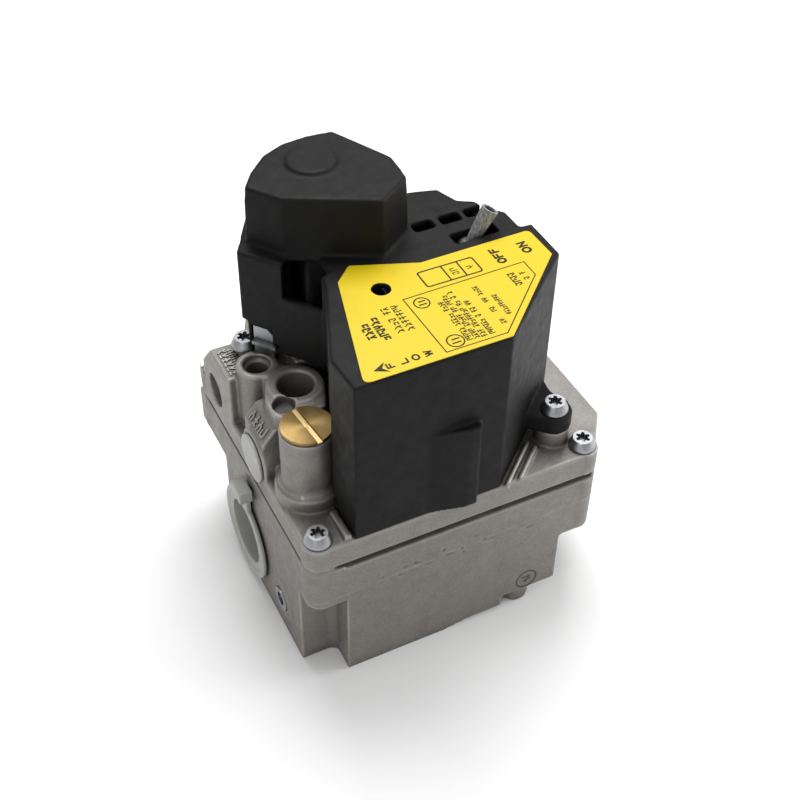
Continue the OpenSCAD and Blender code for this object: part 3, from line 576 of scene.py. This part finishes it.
def sheet(outlines, z0, z1):
    """A flat sheet between two heights from closed outlines in mm. Inner outlines are holes."""
    curve = bpy.data.curves.new("sheet", "CURVE")
    curve.dimensions = "2D"
    curve.fill_mode = "BOTH"
    curve.extrude = (z1 - z0) / 2 * MM
    for line in outlines:
        spline = curve.splines.new("POLY")
        spline.points.add(len(line) - 1)
        for point, (x, y) in zip(spline.points, line):
            at = P(x, y, 0)
            point.co = (at.x, at.y, 0, 1)
        spline.use_cyclic_u = True
    ob = bpy.data.objects.new("sheet", curve)
    scene.collection.objects.link(ob)
    graph = bpy.context.evaluated_depsgraph_get()
    mesh = bpy.data.meshes.new_from_object(ob.evaluated_get(graph))
    bpy.data.objects.remove(ob)
    mesh.transform(Matrix.Translation((0, 0, P(0, 0, (z0 + z1) / 2).z)))
    return mesh


LABEL_T = 0.25
LABEL_TOP = DECK_Z + LABEL_T
LABEL = [
    (18.4, 0.9), (64.4, 0.9), (93.6, 28.6), (93.4, 42), (56.2, 41.6), (36.3, 49.3), (30.2, 43.4)
]
HOLE_AT, HOLE_R = (40.2, 35.3), 3.0
hole = [
    (HOLE_AT[0] + HOLE_R * math.cos(a) * (1 + 0.02 * math.sin(5 * a)),
     HOLE_AT[1] + HOLE_R * math.sin(a) * (1 + 0.02 * math.cos(3 * a)))
    for a in (2 * math.pi * k / 48 for k in range(48))
]
edge = [tuple(p) for p in rounded(LABEL, [2.0, 1.6, 0.6, 1.8, 1.0, 1.2, 0.8])]
label = add("label_film", sheet([edge, hole], DECK_Z, LABEL_TOP), LOOKS["label"], MAIN)
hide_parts("cover_label")


# A made-up dark wall between the solenoid platform and the cover, put in for shade: it keeps light out of
# the inside, so the notch and the label's hole look black.
SHADE_WALL_OUT = [(23.2, 59.2), (30, 58.4), (58.2, 58.4), (58.2, 74.6), (50.6, 90.4), (23.2, 90.4)]
SHADE_WALL_IN = [(24.8, 60.8), (30.4, 60), (56.6, 60), (56.6, 74.2), (49.6, 88.8), (24.8, 88.8)]
SHADE_WALL_H = 6.6
platform_z = (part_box("redundant_frame")[0].z / MM) - SEAM_Z
shade_wall_lines = [[tuple(p) for p in rounded(line, 1.0)] for line in (SHADE_WALL_OUT, SHADE_WALL_IN)]
add("dark_shade_wall", sheet(shade_wall_lines, platform_z, platform_z + SHADE_WALL_H), LOOKS["rubber"], MAIN)


class Print:
    """Strokes gathered into one thin mesh. place(a, b, h) is the point at height h over the face.

    Each stroke lies a hair above the one before, so that no two faces are in one plane.
    """

    HAIR = 0.00002

    def __init__(self, place, low, high):
        self.bm = bmesh.new()
        self.place, self.low, self.high = place, low, high
        self.lift = 0.0

    def stroke(self, points, width, closed=False):
        pts = [Vector(p[:2]) for p in points]
        pairs = list(zip(pts, pts[1:] + pts[:1])) if closed else list(zip(pts, pts[1:]))
        for a, b in pairs:
            if (b - a).length < 1e-6:
                continue
            along = (b - a).normalized() * width / 2
            side = Vector((-along.y, along.x))
            self.quad([a - along - side, b + along - side, b + along + side, a - along + side])

    def quad(self, corners):
        self.lift += self.HAIR
        low = [self.bm.verts.new(self.place(c.x, c.y, self.low)) for c in corners]
        high = [self.bm.verts.new(self.place(c.x, c.y, self.high + self.lift)) for c in corners]
        self.bm.faces.new(high)
        self.bm.faces.new(low[::-1])
        for i in range(len(corners)):
            j = (i + 1) % len(corners)
            self.bm.faces.new((low[i], low[j], high[j], high[i]))

    def glyph(self, lines, x, y, high, wide, width):
        """Letter strokes: read towards +Y, tops towards -X. (x, y) is the lower left of the letter."""
        for line in lines:
            self.stroke([(x - gy * high, y + gx * wide) for gx, gy in line], width)

    def done(self, name, look):
        bmesh.ops.recalc_face_normals(self.bm, faces=self.bm.faces)
        mesh = bpy.data.meshes.new(name)
        self.bm.to_mesh(mesh)
        self.bm.free()
        return add(name, mesh, look, MAIN)


def arc(cx, cy, rx, ry, a0, a1, steps=10):
    return [
        (cx + rx * math.cos(math.radians(a0 + (a1 - a0) * k / steps)),
         cy + ry * math.sin(math.radians(a0 + (a1 - a0) * k / steps)))
        for k in range(steps + 1)
    ]


LETTERS = {
    "O": [arc(0.5, 0.5, 0.5, 0.5, 0, 360, 14)],
    "F": [[(0.05, 0), (0.05, 1), (0.9, 1)], [(0.05, 0.52), (0.75, 0.52)]],
    "N": [[(0.05, 0), (0.05, 1), (0.9, 0), (0.9, 1)]],
    "L": [[(0.05, 1), (0.05, 0), (0.85, 0)]],
    "W": [[(0, 1), (0.25, 0), (0.5, 0.9), (0.75, 0), (1, 1)]],
}
# Marks that only look like print from afar: no alphabet, no words
MARKS = [
    [[(0, 0), (0, 1)], [(0.3, 1), (0.8, 1), (0.8, 0.4)]],
    [[(0, 1), (0.7, 1), (0.7, 0)], [(0, 0.4), (0.3, 0)]],
    [[(0, 0), (0.7, 0), (0.7, 0.6), (0, 0.6)]],
    [[(0, 1), (0, 0.4), (0.7, 0.4), (0.7, 1)], [(0.35, 0.4), (0.35, 0)]],
    [[(0.1, 0), (0.7, 0.5), (0.1, 1)], [(0.7, 0), (0.7, 0.2)]],
    [[(0, 0.5), (0.7, 0.5)], [(0.35, 0), (0.35, 1)], [(0, 1), (0.7, 1)]],
    [[(0, 0), (0.35, 0.6), (0.7, 0)], [(0, 1), (0.7, 1)]],
]

ink_print = Print(lambda x, y, h: P(x, y, LABEL_TOP + h), -0.01, 0.03)
thin, bold = 0.34, 0.68
# long text block and its frame
ink_print.stroke([(43.7, 28.2), (44.3, 2.7), (63.6, 2.7), (84.0, 22.1), (84.0, 28.9)], thin, True)


def word(x, y0, y1, high, pitch, width, gaps=()):
    """A line of marks from y0 to y1 whose feet are at x."""
    y, k = y0, 0
    while y + pitch * 0.7 <= y1:
        if k not in gaps:
            ink_print.glyph(rng.choice(MARKS), x, y, high, pitch * 0.72, width)
        y += pitch
        k += 1


# the long block's lines: x, first and last y, height, pitch, stroke, gaps
for line in (
    (53.5, 4.6, 24.8, 1.55, 1.15, 0.34, (5, 11, 16)),
    (55.7, 4.4, 24.8, 1.55, 1.15, 0.34, (4, 10, 13)),
    (57.9, 4.2, 26.2, 1.55, 1.15, 0.34, (3, 12, 15, 17)),
    (60.5, 4.4, 20.9, 1.55, 1.15, 0.34, (6, 8, 11)),
    (65.6, 6.8, 25.0, 1.4, 1.15, 0.32, (2, 3, 4, 7, 8, 11)),
    (68.9, 9.8, 19.2, 1.4, 0.95, 0.30),
    (78.4, 19.9, 26.8, 1.9, 1.6, 0.42),
    (81.6, 21.4, 26.0, 1.5, 1.3, 0.34, (1,)),
):
    word(*line)
# two plain roundels
for cx, cy, r in ((47.9, 24.6, 2.3), (48.8, 5.9, 2.5)):
    ink_print.stroke(arc(cx, cy, r, r, 0, 360, 28), 0.4)
    ink_print.stroke([(cx - r * 0.45, cy - r * 0.3), (cx + r * 0.45, cy - r * 0.3)], 0.5)
    ink_print.stroke([(cx - r * 0.25, cy + r * 0.3), (cx + r * 0.5, cy + r * 0.3)], 0.5)
# wiring box: three cells
box_x, box_y, medium = (52.8, 71.0), (30.3, 37.5), 0.5
box = [(box_x[0], box_y[0]), (box_x[1], box_y[0]), (box_x[1], box_y[1]), (box_x[0], box_y[1])]
ink_print.stroke([tuple(p) for p in rounded(box, 1.0)], medium, True)
for x in (60.6, 65.8):
    ink_print.stroke([(x, y) for y in box_y], medium)
word(64.3, 32.2, 35.8, 1.9, 1.8, 0.3)
word(69.3, 33.1, 34.9, 1.9, 1.8, 0.3)
# two heavier and two lighter lines by the regulator
word(29.6, 16.6, 23.6, 2.1, 1.75, 0.58)
word(33.1, 14.6, 25.8, 2.1, 1.75, 0.58)
word(37.9, 15.6, 28.4, 1.9, 1.75, 0.38, (4,))
word(41.0, 15.4, 27.4, 1.9, 1.75, 0.38)
# switch positions and the flow arrow
for text, x, y0, y1, high in (("OFF", 79.6, 31.2, 39.0, 2.3), ("ON", 89.0, 32.5, 38.4, 2.4)):
    step = (y1 - y0) / len(text)
    for k, letter in enumerate(text):
        ink_print.glyph(LETTERS[letter], x, y0 + k * step, high, step * 0.72, bold)
for letter, x in (("F", 28.9), ("L", 33.1), ("O", 36.7), ("W", 40.5)):
    ink_print.glyph(LETTERS[letter], x, 3.5, 1.9, 2.0, 0.5)
ink_print.quad([Vector(p) for p in ((22.9, 4.3), (27.0, 2.2), (25.5, 4.3))])
ink_print.quad([Vector(p) for p in ((22.9, 4.3), (25.5, 4.3), (27.0, 6.4))])
ink_print.done("label_print", INK)

# Raised marks on the castings' two pads, and a stamped roundel low on the front: shapes only, no words
pad = Print(lambda x, y, h: P(x, y, 28 + h), -0.3, 0.4)
for x, y0, count in ((4.4, 64.6, 6), (7.6, 68.2, 4)):
    for k in range(count):
        pad.glyph(rng.choice(MARKS), x, y0 + 2.2 * k, 2.3, 1.6, 0.5)
pad.done("pad_marks_top", LOOKS["cast_upper"])

SLOPE = Vector((4.2, 0, 5.0)).normalized()
OUT = Vector((-5.0, 0, 4.2)).normalized()
pad = Print(
    lambda a, y, h: P(1 + SLOPE.x * a + OUT.x * h, y, 21.5 + SLOPE.z * a + OUT.z * h), -0.3, 0.4)
for k in range(4):
    pad.glyph(rng.choice(MARKS), 4.9, 39.4 + 2.9 * k, 3.2, 2.0, 0.55)
pad.done("pad_marks_vent", LOOKS["cast_upper"])

# The roundel's strokes carry painted shadow, dark where the stamped mark's edges shade.
roundel = Print(lambda x, z, h: P(x, -h, z), -0.3, 0.06)
roundel.stroke(arc(78.2, -41.8, 3.8, 3.8, 0, 360, 40), 0.55, True)
roundel.stroke([(76.4, -40.6), (79.4, -40.6), (78.0, -43.2)], 0.6)
roundel.stroke([(79.8, -42.0), (77.2, -42.4)], 0.6)
roundel.done("front_roundel", stamped("stamp_shadow", (0.045, 0.043, 0.040)))


# ---------------------------------------------------------------- small parts

def bevelled(node, width, angle=30, segments=2):
    """Breaks a CAD node's sharp edges at render time. Its own mesh stays as it is."""
    ob = NODES[node]
    weld = ob.modifiers.new("weld", "WELD")
    weld.merge_threshold = 2e-6
    bevel = ob.modifiers.new("bevel", "BEVEL")
    bevel.width = width * MM
    bevel.segments = segments
    bevel.limit_method = "ANGLE"
    bevel.angle_limit = math.radians(angle)
    bevel.harden_normals = False
    return ob


def even(rounds):
    return lambda cad: np.full(len(cad), float(rounds))


waxy = LOOKS["natural_plastic"]
softened("outlet_port_plug", "outlet_shipping_plug", 0.25, even(4), waxy, 0.6, body="outlet_plug")
softened("vent_plug", "vent_disc", 0.2, even(5), waxy, 0.6, body="vent_cover")
for small, width in {
    "body_screws": 0.22, "cover_screw": 0.22, "bracket_screw": 0.22, "regulator_cap": 0.18,
    "outlet_tap_plug": 0.25, "rear_bracket": 0.3, "terminal_tabs": 0.12, "toggle_lever": 0.12,
    "redundant_frame": 0.3, "servo_frame": 0.3,
}.items():
    bevelled(small, width)


# ---------------------------------------------------------------- floor, light, camera

floor_mesh = bpy.data.meshes.new("floor")
bm = bmesh.new()
bmesh.ops.create_grid(bm, x_segments=2, y_segments=2, size=3.0)
bm.to_mesh(floor_mesh)
bm.free()
floor = add("floor", floor_mesh, pale_floor("floor_pale"), None)

world = bpy.data.worlds.new("studio")
scene.world = world
world.use_nodes = True
background = world.node_tree.nodes["Background"]
background.inputs[0].default_value = (1.0, 1.0, 1.0, 1)
background.inputs[1].default_value = 0.55


def softbox(name, at, target, size, power, tint=(1, 1, 1)):
    light = bpy.data.lights.new(name, "AREA")
    light.shape = "RECTANGLE"
    light.size, light.size_y = size
    light.energy = power
    light.color = tint
    ob = bpy.data.objects.new(name, light)
    scene.collection.objects.link(ob)
    ob.location = at
    ob.rotation_euler = (Vector(target) - Vector(at)).to_track_quat("-Z", "Y").to_euler()


AIM = (0, 0, 0.06)
softbox("key_top", (0.12, 0.25, 0.72), AIM, (0.5, 0.4), 5.2)
softbox("fill_right", (0.75, -0.20, 0.35), AIM, (0.5, 0.5), 3.6)
softbox("fill_left", (-0.6, -0.55, 0.45), AIM, (0.4, 0.4), 1.2)

# The viewing direction of the photograph
AZIMUTH, ELEVATION, ROLL = math.radians(27.23), math.radians(43.23), math.radians(1.12)
EYE = (-0.14647, -0.28783, 0.36090)
level = Vector((-math.sin(AZIMUTH), -math.cos(AZIMUTH), 0))
back = level * math.cos(ELEVATION) + Vector((0, 0, math.sin(ELEVATION)))
right = Vector((math.cos(AZIMUTH), -math.sin(AZIMUTH), 0))
up = back.cross(right)
x_axis = right * math.cos(ROLL) + up * math.sin(ROLL)
y_axis = up * math.cos(ROLL) - right * math.sin(ROLL)
camera = bpy.data.objects.new("camera", bpy.data.cameras.new("camera"))
scene.collection.objects.link(camera)
camera.data.lens = 59.5
camera.data.sensor_width = 36
camera.data.clip_start = 0.01
turn = Matrix((x_axis, y_axis, back)).transposed().to_4x4()
camera.matrix_world = Matrix.Translation(EYE) @ turn
scene.camera = camera
scene.view_settings.view_transform = "Standard"
